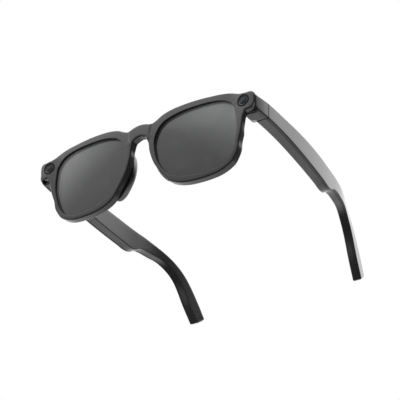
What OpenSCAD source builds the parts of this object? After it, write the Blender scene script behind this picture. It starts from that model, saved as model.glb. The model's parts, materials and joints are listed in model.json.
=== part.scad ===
// Smart glasses: full-rim front with a camera and a signal light, and two folding
// temples that hold the electronics.
// Millimetres. +X is the wearer's left, the front faces -Y, +Z is up, and the glasses
// stand open on a table, on the rims and the temple tips.

/* [Front] */
// Width over the front face, at the endpieces
front_w = 146.4; // [130:0.5:176]
// Width of one lens opening
lens_w = 50.5; // [42:0.5:60]
// Height of one lens opening
lens_h = 42.5; // [36:0.5:50]
// Distance between the two lens openings
bridge_w = 20.8; // [15:0.2:24]
// Thickness of the front, front to back
front_t = 5.0; // [4:0.1:7]
// Radius of the front's sideways curve
face_r = 526; // [300:1:900]
// Forward lean of the top of the front, degrees
face_tilt = 4.94; // [0:0.1:12]
// Width of the rim's face, below and beside a lens
rim_w = 2.4; // [1.8:0.1:4]
// Width of the rim's face above a lens
brow_w = 4.1; // [3:0.1:6]
// Width of the rim's face on the nose side
nose_w = 3.4; // [2.6:0.1:5]

/* [Lenses] */
// Thickness of a lens
lens_t = 2.0; // [1.4:0.1:3]
// Depth of a lens behind the front face
lens_inset = 1.2; // [0.6:0.1:1.8]
// Depth of the groove that holds a lens
groove = 0.8; // [0.4:0.1:1.2]

/* [Temples] */
// Length of a temple behind the hinge line, measured straight back
temple_len = 143.5; // [119.5:0.5:172]
// Distance from the face to the line where front and temple part
parting_y = 14.6; // [12:0.1:20]
// Thickness of a temple at the hinge
temple_t = 7.3; // [5.5:0.1:9]
// Thickness of a temple tip
tip_t = 4.9; // [3:0.1:7]
// Height of a temple at the hinge
hinge_h = 10.2; // [9.4:0.1:14]
// Greatest height of a temple
temple_h = 14.4; // [12:0.1:20]
// Thickness of a temple's outer shell
skin_t = 1.6; // [1:0.1:2.4]
// Wall of a temple's inner body
wall = 1.2; // [0.8:0.1:1.6]

/* [Hinges] */
// Radius of a hinge knuckle
knuckle_r = 1.5; // [1.2:0.1:2]
// Radius of a hinge pin
pin_r = 0.7; // [0.5:0.05:0.9]
// Height of a hinge, top to bottom
knuckle_h = 8.0; // [6:0.1:8.4]

/* [Camera and light] */
// Radius of the camera and light bezels
bezel_r = 3.9; // [3:0.1:4.2]
// Radius of the clear windows
window_r = 2.7; // [2:0.1:2.9]
// Distance of the camera and light in from the front's side edge
eye_inset = 6.8; // [5.5:0.1:9]

/* [Battery and buttons] */
// Length of a battery cell
battery_l = 26; // [18:1:32]
// Length of a speaker box
speaker_l = 12; // [9:0.5:15]
// Length of a circuit board
board_l = 20; // [19:0.5:26]
// Travel of the capture button
button_travel = 0.5; // [0.3:0.1:0.6]

/* [Hidden] */

$fn = 48;
seat = 0.05;          // clearance of a piece in its seat
part_gap = 0.15;      // gap at the parting line
run = 0.04;           // radial clearance of the hinge pin in its knuckles
big = 400;            // longer than anything it cuts
steps = 3;            // flats between two points of a curved outline
lens_cx = (bridge_w + lens_w) / 2;
lens_cv = -1.25;      // a lens's centre, from the datum line
lens_top = lens_cv + lens_h / 2;
lens_low = lens_cv - lens_h / 2;
side_x = front_w / 2;
datum_z = (rim_w - lens_low) * cos(face_tilt);   // the datum line's height over the table
eye_x = side_x - eye_inset;
eye_v = 14.1;         // height of the camera and light over the datum line
eye_y = eye_x * eye_x / (2 * face_r);            // how far the curve sets them back
plate_t = 2.0;        // thickness of the face in front of an endpiece
endpiece_v = [8.1, 18.2];                        // bottom and top of an endpiece's face

// temple shape: where its outline has a point, as a share of the length, with its height
out_y = parting_y - 11.4;                        // where the side face begins
hinge_z = 33.1;       // underside of a temple at the hinge, over the table
belly_z = 30.1;       // lowest point of the thick stretch
belly_f = 0.53;       // share of a temple's outline that is the thick stretch
step_z = 34.4;        // underside past the step
top_z = belly_z + temple_h;
tip_y = parting_y + temple_len;
back_half = (tip_y - lens_top * sin(face_tilt)) / 2;
flare = 1.6;          // how far a temple's side stands out past the face at the parting line

// what the thick stretch holds, one behind the other
bay_y0 = parting_y + 12.5;
board_y = [bay_y0 + 0.6, bay_y0 + 0.6 + board_l];
battery_y = [board_y[1] + 1, board_y[1] + 1 + battery_l];
speaker_y = [battery_y[1] + 0.8, battery_y[1] + 0.8 + speaker_l];
bay_y1 = speaker_y[1] + 0.6;
belly_y = bay_y1 + 2.5;                          // where the thick stretch ends

pin_x = side_x + flare - temple_t - knuckle_r - 0.2;
pin_z0 = hinge_z + (hinge_h - knuckle_h) / 2;

// ---- curves -------------------------------------------------------------------------
function bend(a, b, c, d, t) = 0.5 * ((2 * b) + (c - a) * t + (2 * a - 5 * b + 4 * c - d) * t * t
  + (3 * b - a - 3 * c + d) * t * t * t);

function loop_curve(p, k = steps) = let (n = len(p)) [for (i = [0:n - 1], j = [0:k - 1])
  bend(p[(i + n - 1) % n], p[i], p[(i + 1) % n], p[(i + 2) % n], j / k)];

function open_curve(p, k = steps) = let (n = len(p)) concat([for (i = [0:n - 2], j = [0:k - 1])
  bend(p[max(i - 1, 0)], p[i], p[i + 1], p[min(i + 2, n - 1)], j / k)], [p[n - 1]]);

function reversed(p) = [for (i = [len(p) - 1:-1:0]) p[i]];

function flipped(p) = [for (q = reversed(p)) [-q[0], q[1]]];

// an outline moved outwards along its own normals by the widths in w
function grown(p, w) = let (n = len(p)) [for (i = [0:n - 1])
  let (d = p[(i + 1) % n] - p[(i + n - 1) % n], m = norm(d)) p[i] + [d[1], -d[0]] * w[i] / m];

function even(p, w) = grown(p, [for (q = p) w]);

// ---- outlines of the front, in the plane of the face ----------------------------------
LENS_UNIT = [[1, 0.04], [0.985, 0.38], [0.93, 0.69], [0.79, 0.87], [0.45, 0.985], [-0.05, 1],
  [-0.42, 0.96], [-0.75, 0.83], [-0.92, 0.61], [-1, 0.3], [-0.975, 0], [-0.85, -0.45],
  [-0.6, -0.79], [-0.3, -0.93], [0.14, -1], [0.5, -0.965], [0.77, -0.8], [0.89, -0.55],
  [0.965, -0.24]];

function lens_at(q) = [lens_cx + q[0] * lens_w / 2, lens_cv + q[1] * lens_h / 2];

// width of the rim's face at a place on the lens's outline
function rim_at(q) = rim_w + (brow_w - rim_w) * max(0, min(1, (q[1] - 0.3) / 0.6))
  + (nose_w - rim_w) * pow(max(0, -q[0]), 2) * (1 - max(0, q[1]));

UNIT_CURVE = loop_curve(LENS_UNIT);
LENS_CURVE = [for (q = UNIT_CURVE) lens_at(q)];
RIM_CURVE = grown(LENS_CURVE, [for (q = UNIT_CURVE) rim_at(q)]);

nose_x = bridge_w / 2 - nose_w;
bridge_top = lens_top - 1.2;
arch_top = bridge_top - 5.8;
// upper edge from the middle of the bridge into the brow, then down to the arch
BRIDGE_TOP = concat(
  open_curve([[0, bridge_top], [4, bridge_top - 0.25], [nose_x + 0.7, bridge_top - 0.9]]),
  open_curve([[nose_x + 1, bridge_top - 0.9], [nose_x + 4.3, bridge_top + 0.4],
    [nose_x + 7.6, bridge_top + 1.6], [nose_x + 14, lens_top + brow_w * 0.6],
    [nose_x + 20, lens_top + brow_w * 0.86]]));
BRIDGE_ARCH = open_curve([[nose_x + 0.1, -1.4], [nose_x - 0.4, 3], [nose_x - 0.8, 7], [nose_x - 1.7, 10],
  [nose_x - 3.8, arch_top - 0.7], [0, arch_top]]);
BRIDGE_HALF = concat(BRIDGE_TOP, [[nose_x + 20, lens_top + 1], [nose_x + 7, 12], [nose_x + 2.6, 4]],
  BRIDGE_ARCH);
lens_side = lens_cx + lens_w / 2;
END_OUTER = concat(
  open_curve([[lens_cx + 0.43 * lens_w / 2, lens_top + brow_w * 0.8],
    [lens_cx + 0.67 * lens_w / 2, lens_top + brow_w * 0.62],
    [lens_cx + 0.9 * lens_w / 2, lens_top + brow_w * 0.27], [side_x - 8.8, endpiece_v[1] + 0.9],
    [side_x - 4.6, endpiece_v[1] + 0.2], [side_x - 1, endpiece_v[1]]]),
  [[side_x, endpiece_v[1] - 0.9], [side_x - 0.6, endpiece_v[0] + 1.3]],
  open_curve([[side_x - 3.4, endpiece_v[0] + 0.3], [side_x - 5.8, endpiece_v[0]],
    [side_x - 7.6, endpiece_v[0] - 1.8], [lens_side + rim_w + 1.1, 2], [lens_side + rim_w - 0.3, -4]]),
  [[lens_side + 0.8, -2], [lens_side + 0.7, 9], [lens_side - 5, lens_top - 1]]);

module front_outline() {
  polygon(concat(BRIDGE_HALF, flipped(BRIDGE_HALF)));
  for (m = [0, 1]) mirror([m, 0]) {
    polygon(RIM_CURVE);
    polygon(END_OUTER);
  }
}

// ---- the front's own frame: x across, y into the face, z up along it ------------------------
module placed() translate([0, -back_half, 0]) children();

module in_front() translate([0, 0, datum_z]) rotate([face_tilt, 0, 0]) children();

module on_side(left) mirror([left ? 0 : 1, 0, 0]) children();

module through() rotate([90, 0, 0]) translate([0, 0, -big / 8]) linear_extrude(height = big / 6)
  children();

module within(depth) translate([0, face_r, -big / 4])
  cylinder(r = face_r - depth, h = big / 2, $fn = 720);

// the layer of the curved front between two depths
module layer(d0, d1) intersection() {
  difference() {
    within(d0);
    within(d1);
  }
  through() children();
}

// something at the camera's or light's axis, with z running straight back from the face
module at_eye(left) on_side(left) in_front() translate([eye_x, eye_y, eye_v]) rotate([-90, 0, 0])
  children();

// ---- outlines of the temples ----------------------------------------------------------------
// place of a share of the outline: the thick stretch fits its contents, the rest runs on to the tip
function along(f) = f < belly_f ? parting_y + f / belly_f * (belly_y - parting_y)
  : belly_y + (f - belly_f) / (1 - belly_f) * (tip_y - belly_y);

SIDE_TOP = [[out_y, hinge_z + hinge_h - 0.8], [parting_y, hinge_z + hinge_h - 0.1],
  [along(0.1), top_z - 0.5], [along(0.31), top_z + 0.9], [along(0.41), top_z + 0.8],
  [along(0.52), top_z + 0.1], [along(0.62), top_z - 0.4], [along(0.73), top_z - 3.9],
  [along(0.835), top_z - 11.5], [along(0.945), 16.4], [along(0.985), 8.4], [tip_y, 5.6]];
SIDE_LOW = [[out_y, hinge_z - 0.3], [parting_y, hinge_z], [along(0.105), hinge_z + 0.3],
  [along(0.31), belly_z + 1.7], [belly_y, belly_z]];
SIDE_STEP = [[belly_y + 2, belly_z + 0.9], [belly_y + 7, step_z - 0.3],
  [along(0.66), step_z + 0.3], [along(0.73), step_z], [along(0.8), step_z - 5.2],
  [along(0.875), step_z - 18.6], [along(0.95), 1.2], [along(0.962), 0], [along(0.975), 0.4]];
TOP_CURVE = open_curve(SIDE_TOP);
LOW_CURVE = concat(open_curve(SIDE_LOW), open_curve(SIDE_STEP));
PLAN_OUT = open_curve([[out_y, side_x + flare - 0.6], [parting_y, side_x + flare],
  [along(0.11), side_x + flare + 0.2], [along(0.32), side_x + flare - 0.1],
  [along(belly_f), side_x - 0.4], [along(0.67), side_x - 2.9],
  [along(0.81), side_x - 7.8], [tip_y, side_x - 12.6]]);

function height_top(y) = lookup(y, TOP_CURVE);
function height_low(y) = lookup(y, LOW_CURVE);
function outer_x(y) = lookup(y, PLAN_OUT);
function thick(y) = temple_t + (tip_t - temple_t) * max(0, min(1, (y - parting_y) / (0.8 * temple_len)));

// the stretches of a temple between y0 and y1, cut every few millimetres
function cuts(y0, y1, n) = [for (i = [0:n]) y0 + (y1 - y0) * i / n];

// plan outline between depth a and depth b under the outer face
module plan(y0, y1, a, b, n) {
  polygon(concat([for (y = cuts(y0, y1, n)) [outer_x(y) - a, y]],
    [for (y = cuts(y1, y0, n)) [outer_x(y) - b, y]]));
}

// everything between depth a and depth b under the outer face, in a straight band of height
module band(y0, y1, a, b, z0, z1, n = 4) translate([0, 0, z0]) linear_extrude(height = z1 - z0)
  plan(y0, y1, a, b, n);

// plan outline of the inner body, from depth a to its own thickness less b
module plan_body(y0, y1, a, b, n) {
  polygon(concat([for (y = cuts(y0, y1, n)) [outer_x(y) - a, y]],
    [for (y = cuts(y1, y0, n)) [outer_x(y) - thick(y) + b, y]]));
}

module side_profile(inset = 0) rotate([90, 0, 90]) linear_extrude(height = side_x + 10)
  polygon(concat([for (p = TOP_CURVE) [p[0], p[1] - inset]],
    [for (p = reversed(LOW_CURVE)) [p[0], p[1] + inset]]));

// ---- electronics bay of a temple --------------------------------------------------------------
bay_depth = skin_t + seat;                       // the bay opens under the outer shell
board_t = 0.8;
mid_z = (hinge_z + height_top(along(0.2))) / 2;

function floor_z(y) = height_low(y) + wall;
bay_low = max(floor_z(bay_y0), floor_z(along(0.2)));
bay_top = height_top(bay_y0) - wall;             // the bay's lowest roof
module bay() intersection() {
  side_profile(wall);
  linear_extrude(height = big / 4) plan_body(bay_y0, bay_y1, 0, wall, 8);
}

// ---- front pieces -----------------------------------------------------------------------------
CHANNEL = open_curve([[0, bridge_top - 2.6], [nose_x + 3, bridge_top - 2.4], [nose_x + 9, lens_top - 1.4],
  [lens_cx - 12, lens_top + brow_w * 0.36], [lens_cx, lens_top + brow_w * 0.46],
  [lens_cx + 12, lens_top + brow_w * 0.34], [side_x - 15, lens_top - 0.4], [side_x - 9.9, lens_top - 3.2]]);
channel_w = 1.5;

module strip(w) {
  half = [for (i = [0:len(CHANNEL) - 1])
    let (d = CHANNEL[min(i + 1, len(CHANNEL) - 1)] - CHANNEL[max(i - 1, 0)])
    [d[1], -d[0]] / norm(d) * w / 2];
  upper = [for (i = [0:len(CHANNEL) - 1]) CHANNEL[i] - half[i]];
  lower = [for (i = [0:len(CHANNEL) - 1]) CHANNEL[i] + half[i]];
  polygon(concat(reversed([for (q = upper) [-q[0], q[1]]]), [for (i = [1:len(upper) - 1]) upper[i]],
    reversed(lower), [for (i = [1:len(lower) - 1]) [-lower[i][0], lower[i][1]]]));
}

// room for what sits behind the thin face of an endpiece
module endpiece_room() intersection() {
  translate([side_x - 9.4, -big / 8, -big / 8]) cube([40, big / 4, big / 4]);
  within(plate_t);
}

module side_block(a, b, y0 = out_y, y1 = parting_y - part_gap) intersection() {
  side_profile();
  linear_extrude(height = big / 4) plan(y0, y1, a, b, 4);
}

module front_frame() color("#3c3d40") placed() difference() {
  union() {
    in_front() difference() {
      layer(0, front_t) front_outline();
      for (m = [0, 1]) mirror([m, 0, 0]) endpiece_room();
    }
    for (m = [0, 1]) mirror([m, 0, 0]) intersection() {
      side_block(0, skin_t);
      in_front() within(plate_t / 2);
    }
  }
  in_front() {
    for (m = [0, 1]) mirror([m, 0, 0]) {
      through() polygon(LENS_CURVE);
      layer(lens_inset, lens_inset + lens_t) polygon(even(LENS_CURVE, groove));
    }
    layer(front_t - 1.7, front_t + 1) strip(channel_w);
  }
  for (left = [true, false]) at_eye(left) translate([0, 0, -5]) cylinder(r = bezel_r, h = 5 + 2.6);
  for (left = [true, false]) on_side(left) in_front() pad_seat();
}

module brow_cover() color("#303134") placed() in_front()
  layer(front_t - 0.7, front_t) strip(channel_w - 2 * seat);

module front_flex() color("#b8722c") placed() in_front()
  layer(front_t - 1.4, front_t - 1.2) strip(channel_w - 0.4);

module lens() in_front() layer(lens_inset + seat, lens_inset + lens_t - seat)
  polygon(even(LENS_CURVE, groove - seat));

module lens_left() color("#4a4d52", 0.75) placed() lens();
module lens_right() color("#4a4d52", 0.75) placed() on_side(false) lens();

// ---- nose pads --------------------------------------------------------------------------------
// each stands on the back of the rim's nose side and stays clear of the lens
pad_depth = 5.6;      // how far a pad stands out behind the front
pad_proud = 1.2;      // how far it reaches past the rim towards the nose
peg_r = 0.8;          // its locating peg
peg_at = [nose_x + 1.8, -3.5];
PAD_OUTLINE = concat(
  open_curve([[nose_x - pad_proud + 0.5, 7], [nose_x - pad_proud - 0.1, 2], [nose_x - pad_proud + 0.6, -3],
    [nose_x - pad_proud + 2.4, -8], [nose_x - pad_proud + 5.6, -13], [nose_x - pad_proud + 9.2, -17]]),
  open_curve([[nose_x + 10.2, -15.8], [nose_x + 6.6, -11], [nose_x + 4.4, -6], [nose_x + 3.0, 0],
    [nose_x + 2.4, 6.4]]));

module peg(r, d0, d1) translate([peg_at[0], d0, peg_at[1]]) rotate([-90, 0, 0])
  cylinder(r = r, h = d1 - d0, $fn = 24);

module pad_seat() peg(peg_r, front_t - 1.6, front_t + 2);

module nose_pad() in_front() {
  layer(front_t + seat, front_t + pad_depth) polygon(PAD_OUTLINE);
  peg(peg_r - seat, front_t - 1.5, front_t + 1.5);
}

module nose_pad_left() color("#1c1d1f") placed() nose_pad();
module nose_pad_right() color("#1c1d1f") placed() on_side(false) nose_pad();

// ---- endpiece covers: the housings behind the camera and the light ------------------------------
leaf_t = 1;                                      // thickness of a hinge leaf
leaf_y = parting_y - knuckle_r - 0.1 - leaf_t;   // front face of the hinge's front leaf
COVER_PLAN = concat([for (y = cuts(parting_y - part_gap, out_y, 4)) [outer_x(y) - skin_t - seat, y]],
  open_curve([[side_x - 9.2, out_y - 2], [side_x - 9.2, out_y + 3.4], [side_x - 9.0, out_y + 6.6],
    [side_x - 8.0, out_y + 9.8], [pin_x + 0.3, parting_y - part_gap - 0.6]]),
  [[pin_x + 0.4, parting_y - part_gap]]);

module endpiece_cover(left) placed() on_side(left) difference() {
  intersection() {
    side_profile();
    linear_extrude(height = big / 4) polygon(COVER_PLAN);
    in_front() within(plate_t + seat);
  }
  translate([pin_x, parting_y, 0]) cylinder(r = knuckle_r + 0.2, h = big / 8);
  translate([pin_x - 4, leaf_y - 0.1, pin_z0 - 0.2]) cube([10.4, leaf_t + 0.75, knuckle_h + 0.4]);
  translate([pin_x - knuckle_r - seat, leaf_y - 0.1, pin_z0 - 0.2])
    cube([2 * (knuckle_r + seat), big / 8, knuckle_h + 0.4]);
  at_eye(true) cylinder(r = 2.5, h = 9);
  for (z = hinge_screw_z) translate([pin_x + 5, leaf_y + leaf_t, z]) rotate([90, 0, 0])
    cylinder(r = screw_r, h = 3.2, $fn = 24);
}

module endpiece_cover_left() color("#2c2d30") endpiece_cover(true);
module endpiece_cover_right() color("#2c2d30") endpiece_cover(false);

// ---- camera and signal light --------------------------------------------------------------------
bezel_proud = 0.35;   // how far the bezel stands out of the face at its axis
module bezel(left) placed() at_eye(left) difference() {
  translate([0, 0, -bezel_proud]) cylinder(r = bezel_r - seat, h = bezel_proud + 1.45);
  translate([0, 0, -1]) cylinder(r = window_r, h = 5);
}

module window(left) placed() at_eye(left) translate([0, 0, 0.25])
  cylinder(r = window_r - seat, h = 0.7);

module camera_bezel() color("#0c0c0e") bezel(true);
module camera_window() color("#1a2226", 0.7) window(true);
module camera_barrel() color("#18181a") placed() at_eye(true) {
  translate([0, 0, 1.1]) cylinder(r = 1.9, h = 1.9);
  translate([0, 0, 3.0]) cylinder(r = 2.3, h = 2.2);
}
module camera_board() color("#1d5a38") placed() at_eye(true) translate([-1.7, -1.7, 5.25])
  cube([3.4, 3.4, board_t]);
module light_bezel() color("#0c0c0e") bezel(false);
module light_window() color("#d9dde0", 0.7) window(false);
module light_led() color("#f4f1dc") placed() at_eye(false) translate([-1, -1, 1.4])
  cube([2, 2, 1.6]);
module light_board() color("#1d5a38") placed() at_eye(false) translate([0, 0, 3.05])
  cylinder(r = 2.3, h = board_t);

// ---- hinges ---------------------------------------------------------------------------------------
screw_r = 0.6;
screw_head_r = 1.0;
knuckle_n = 5;
leaf_l = 10.8;        // length of the temple leaf
leaf_screw = 8;       // distance of its screws from the pin
knuckle_step = knuckle_h / knuckle_n;
hinge_screw_z = [pin_z0 + knuckle_step * 0.9, pin_z0 + knuckle_h - knuckle_step * 0.9];

module knuckles(front) {
  for (i = [0:knuckle_n - 1]) if ((i % 2 == 0) == front)
    translate([0, 0, pin_z0 + i * knuckle_step + 0.03]) {
      linear_extrude(height = knuckle_step - 0.06) difference() {
        union() {
          circle(r = knuckle_r);
          if (front) translate([-knuckle_r, -knuckle_r - 0.5]) square([2 * knuckle_r, knuckle_r + 0.5]);
          else translate([0, 0.2]) square([leaf_x + leaf_t, knuckle_r - 0.2]);
        }
        circle(r = pin_r + run);
      }
    }
}

module hinge_front(left) placed() on_side(left) translate([pin_x, parting_y, 0]) {
  knuckles(true);
  difference() {
    translate([-knuckle_r, leaf_y - parting_y, pin_z0]) cube([knuckle_r + 6.3, leaf_t, knuckle_h]);
    for (z = hinge_screw_z) translate([5, 0, z]) rotate([90, 0, 0])
      cylinder(r = screw_r + seat, h = 5, $fn = 24);
  }
}

leaf_x = knuckle_r + 1.5;                        // how far out from the pin the temple leaf lies
module hinge_temple(left) placed() on_side(left) translate([pin_x, parting_y, 0]) {
  knuckles(false);
  difference() {
    translate([leaf_x, 0.2, pin_z0]) cube([leaf_t, leaf_l, knuckle_h]);
    for (z = hinge_screw_z) translate([0, leaf_screw, z]) rotate([0, 90, 0])
      cylinder(r = screw_r + seat, h = leaf_x + 2, $fn = 24);
  }
}

module hinge_pin(left) placed() on_side(left) translate([pin_x, parting_y, pin_z0]) {
  translate([0, 0, 0.02]) cylinder(r = pin_r, h = knuckle_h - 0.04);
}

module hinge_front_left() color("silver") hinge_front(true);
module hinge_front_right() color("silver") hinge_front(false);
module hinge_temple_left() color("silver") hinge_temple(true);
module hinge_temple_right() color("silver") hinge_temple(false);
module hinge_pin_left() color("dimgray") hinge_pin(true);
module hinge_pin_right() color("dimgray") hinge_pin(false);

module screw(l) {
  cylinder(r = screw_r - 0.02, h = l, $fn = 24);
  translate([0, 0, -0.5]) cylinder(r = screw_head_r, h = 0.5, $fn = 24);
}

module front_screws() color("gray") placed() for (left = [true, false]) on_side(left)
  for (z = hinge_screw_z) translate([pin_x + 5, leaf_y + leaf_t + 0.05, z]) rotate([90, 0, 0]) screw(3);

// ---- temples ----------------------------------------------------------------------------------------
module temple_shell(left) placed() on_side(left) intersection() {
  side_profile();
  linear_extrude(height = big / 4) plan(parting_y + part_gap, tip_y, 0, skin_t, 26);
}

module leaf_room() translate([pin_x, parting_y, 0]) {
  translate([leaf_x - seat, -1, pin_z0 - 0.1]) cube([leaf_t + 2 * seat, leaf_l + 1.3, knuckle_h + 0.2]);
  translate([0, -1, pin_z0 - 0.1]) cube([leaf_x + leaf_t, knuckle_r + 1.1, knuckle_h + 0.2]);
}

module temple_body(left) placed() on_side(left) difference() {
  intersection() {
    side_profile();
    linear_extrude(height = big / 4) plan_body(parting_y + part_gap, tip_y, skin_t + seat, 0, 26);
  }
  bay();
  leaf_room();
  for (z = hinge_screw_z) translate([pin_x, parting_y + leaf_screw, z]) rotate([0, 90, 0]) {
    cylinder(r = screw_r, h = leaf_x + 4, $fn = 24);
    cylinder(r = screw_head_r + seat, h = leaf_x, $fn = 24);
  }
  core_path(seat);
  flex_path(1.0, 2.4);
  speaker_slots();
  translate([outer_x(mic_y) - skin_t - 2.4, mic_y, 0])
    cylinder(r = 0.5, h = floor_z(mic_y) + 1, $fn = 24);
  if (!left) {
    for (i = [0:contact_n - 1]) contact_place(i) translate([0, 0, -1])
      cylinder(r = contact_r + seat, h = 4, $fn = 24);
    for (i = [0, 1]) magnet_place(i) translate([0, 0, -1])
      cylinder(r = magnet_r + seat, h = 4, $fn = 32);
    button_place() translate([0, 0, -2]) button_stem(2 * seat, 4);
    dock_recess();
  }
}

module temple_shell_left() color("#4a4b4e") temple_shell(true);
module temple_shell_right() color("#4a4b4e") temple_shell(false);
module temple_body_left() color("#333437") temple_body(true);
module temple_body_right() color("#333437") temple_body(false);

// flexible circuit from the hinge into the bay
module flex_path(t, w) intersection() {
  linear_extrude(height = big / 4) plan(parting_y + 2, bay_y0 + 3, skin_t + seat, skin_t + seat + t, 4);
  translate([0, 0, mid_z - w / 2]) cube([big / 4, big / 2, w]);
}
module temple_flex(left) placed() on_side(left) intersection() {
  linear_extrude(height = big / 4)
    plan(parting_y + 2.2, bay_y0 + 0.4, skin_t + 2 * seat, skin_t + 2 * seat + 0.3, 4);
  translate([0, 0, mid_z - 1]) cube([big / 4, big / 2, 2]);
}

// deep side of the bay at a place along the temple, less a piece's own clearance
function bay_back(y) = thick(y) - wall - seat;

module board(left) placed() on_side(left)
  band(board_y[0], board_y[1], bay_depth + 1.1, bay_depth + 1.1 + board_t, bay_low + 1.5, bay_top - 1.8, 2);
module battery(left) placed() on_side(left)
  band(battery_y[0], battery_y[1], bay_depth + 0.2, bay_back(battery_y[1]) - 0.1,
    bay_low + 0.2, bay_top - 0.2, 3);
module speaker(left) placed() on_side(left)
  band(speaker_y[0], speaker_y[1], bay_depth + 0.2, bay_back(speaker_y[1]) - 0.1,
    bay_low - 0.6, bay_top - 1, 2);

// sound slots in the underside, closed by a fine mesh inside
slot_n = 4;
slot_step = 1.9;
slot_w = 0.8;
slot_y = speaker_y[0] + 1.2;
mesh_y = [slot_y - 0.6, slot_y + (slot_n - 1) * slot_step + slot_w + 0.6];
mesh_z = max(floor_z(mesh_y[0]), floor_z(mesh_y[1])) + seat;
mesh_back = bay_back(mesh_y[1]);
module speaker_slots() for (i = [0:slot_n - 1]) let (y = slot_y + i * slot_step)
  translate([outer_x(y) - mesh_back + 0.2, y, 0]) cube([2.0, slot_w, floor_z(y) + 0.6]);
module speaker_mesh(left) placed() on_side(left)
  band(mesh_y[0], mesh_y[1], mesh_back - 2.4, mesh_back, mesh_z, mesh_z + 0.3);

mic_y = board_y[0] + 3;
module microphone(left) placed() on_side(left)
  translate([outer_x(mic_y) - skin_t - 3.6, mic_y - 1.2, floor_z(mic_y) + 0.35])
    cube([2.4, 2.4, 0.9]);

// flat steel core along the middle of the bent tip
core_w = 1.4;
core_t = 0.8;
core_y = [along(0.6), along(0.93)];
function mid_height(y) = (height_top(y) + height_low(y)) / 2;
module core_path(gap) intersection() {
  rotate([90, 0, 90]) linear_extrude(height = side_x + 10) polygon(concat(
    [for (y = cuts(core_y[0] - gap, core_y[1] + gap, 12)) [y, mid_height(y) + core_w / 2 + gap]],
    [for (y = cuts(core_y[1] + gap, core_y[0] - gap, 12)) [y, mid_height(y) - core_w / 2 - gap]]));
  linear_extrude(height = big / 4)
    plan(core_y[0] - 1, core_y[1] + 1, skin_t + 1.2 - gap, skin_t + 1.2 + core_t + gap, 10);
}
module core_wire(left) placed() on_side(left) core_path(0);

module temple_screws(left) placed() on_side(left) for (z = hinge_screw_z)
  translate([pin_x + leaf_x - seat, parting_y + leaf_screw, z]) rotate([0, 90, 0]) screw(3.6);

module temple_flex_left() color("#b8722c") temple_flex(true);
module temple_flex_right() color("#b8722c") temple_flex(false);
module board_left() color("#1d5a38") board(true);
module board_right() color("#1d5a38") board(false);
module battery_left() color("#c9ccd0") battery(true);
module battery_right() color("#c9ccd0") battery(false);
module speaker_left() color("#222224") speaker(true);
module speaker_right() color("#222224") speaker(false);
module speaker_mesh_left() color("#101012") speaker_mesh(true);
module speaker_mesh_right() color("#101012") speaker_mesh(false);
module microphone_left() color("#b9b9b4") microphone(true);
module microphone_right() color("#b9b9b4") microphone(false);
module core_wire_left() color("silver") core_wire(true);
module core_wire_right() color("silver") core_wire(false);
module temple_screws_left() color("gray") temple_screws(true);
module temple_screws_right() color("gray") temple_screws(false);

// ---- touch pad, capture button and charging contacts, all in the wearer's right temple -----------------
module touch_pad() color("#8a6a2c") placed() on_side(false)
  band(board_y[0] + 4, board_y[1], bay_depth + 0.1, bay_depth + 0.5, bay_low + 0.8, bay_top - 1, 3);

button_y = board_y[0] + 10;
button_l = 9;
button_wd = 2.6;
button_h = 1.1;
module button_place() translate([outer_x(button_y) - skin_t - 2.2, button_y, height_top(button_y)])
  children();
module button_stem(gap, h) {
  for (s = [-1, 1]) translate([0, s * (button_l - button_wd) / 2, 0])
    cylinder(r = button_wd / 2 + gap, h = h);
  translate([-button_wd / 2 - gap, -(button_l - button_wd) / 2, 0])
    cube([button_wd + 2 * gap, button_l - button_wd, h]);
}
module capture_button() color("#2a2b2e") placed() on_side(false) button_place() {
  translate([0, 0, button_h - 2.1]) button_stem(0, 2.1);
}
module button_switch() color("#b9b9b4") placed() on_side(false) button_place()
  translate([-1.1, -1.5, button_h - 2.1 - button_travel - 0.85]) cube([2.2, 3, 0.8]);

contact_r = 0.6;
contact_n = 4;
contact_pitch = 2.4;
contact_y = board_y[0] + 7;
magnet_r = 1.5;
magnet_off = 2.9 * contact_pitch;                // from the middle contact to a magnet
module contact_place(i) translate([dock_x, contact_y + (i - 1.5) * contact_pitch, mid_z])
  rotate([0, 90, 0]) children();
module magnet_place(i) translate([dock_x, contact_y + (i == 0 ? -1 : 1) * magnet_off, mid_z])
  rotate([0, 90, 0]) children();
// flat land around the contacts, square to X, where a charging plug seats
dock_x = outer_x(contact_y) - thick(contact_y) + 0.4;
land = [18.8, 4.4];                              // its length and height
module dock_recess() translate([dock_x - 4, contact_y - land[0] / 2, mid_z - land[1] / 2])
  cube([4, land[0], land[1]]);
module charge_contacts() color("gold") placed() on_side(false) for (i = [0:contact_n - 1])
  contact_place(i) translate([0, 0, 0.05]) cylinder(r = contact_r, h = 1.5, $fn = 24);
module charge_magnets() color("silver") placed() on_side(false) for (i = [0, 1])
  magnet_place(i) translate([0, 0, 0.05]) cylinder(r = magnet_r, h = 0.75, $fn = 32);

front_frame();
brow_cover();
front_flex();
lens_left();
lens_right();
nose_pad_left();
nose_pad_right();
endpiece_cover_left();
endpiece_cover_right();
camera_bezel();
camera_window();
camera_barrel();
camera_board();
light_bezel();
light_window();
light_led();
light_board();
hinge_front_left();
hinge_front_right();
hinge_pin_left();
hinge_pin_right();
front_screws();
temple_shell_left();
temple_body_left();
hinge_temple_left();
temple_flex_left();
board_left();
battery_left();
speaker_left();
speaker_mesh_left();
microphone_left();
core_wire_left();
temple_screws_left();
temple_shell_right();
temple_body_right();
hinge_temple_right();
temple_flex_right();
board_right();
battery_right();
speaker_right();
speaker_mesh_right();
microphone_right();
core_wire_right();
temple_screws_right();
touch_pad();
button_switch();
charge_contacts();
charge_magnets();
capture_button();
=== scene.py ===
"""Smart glasses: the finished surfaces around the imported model.

Sizes are in millimetres in the glasses' own frame: X towards the wearer's left, Y from the face
plane back to the temple tips, Z up from the table. They become metres as each mesh is made.
"""

import json
import logging
import math
from dataclasses import dataclass
from enum import Enum
from typing import Callable, Sequence, Union

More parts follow.
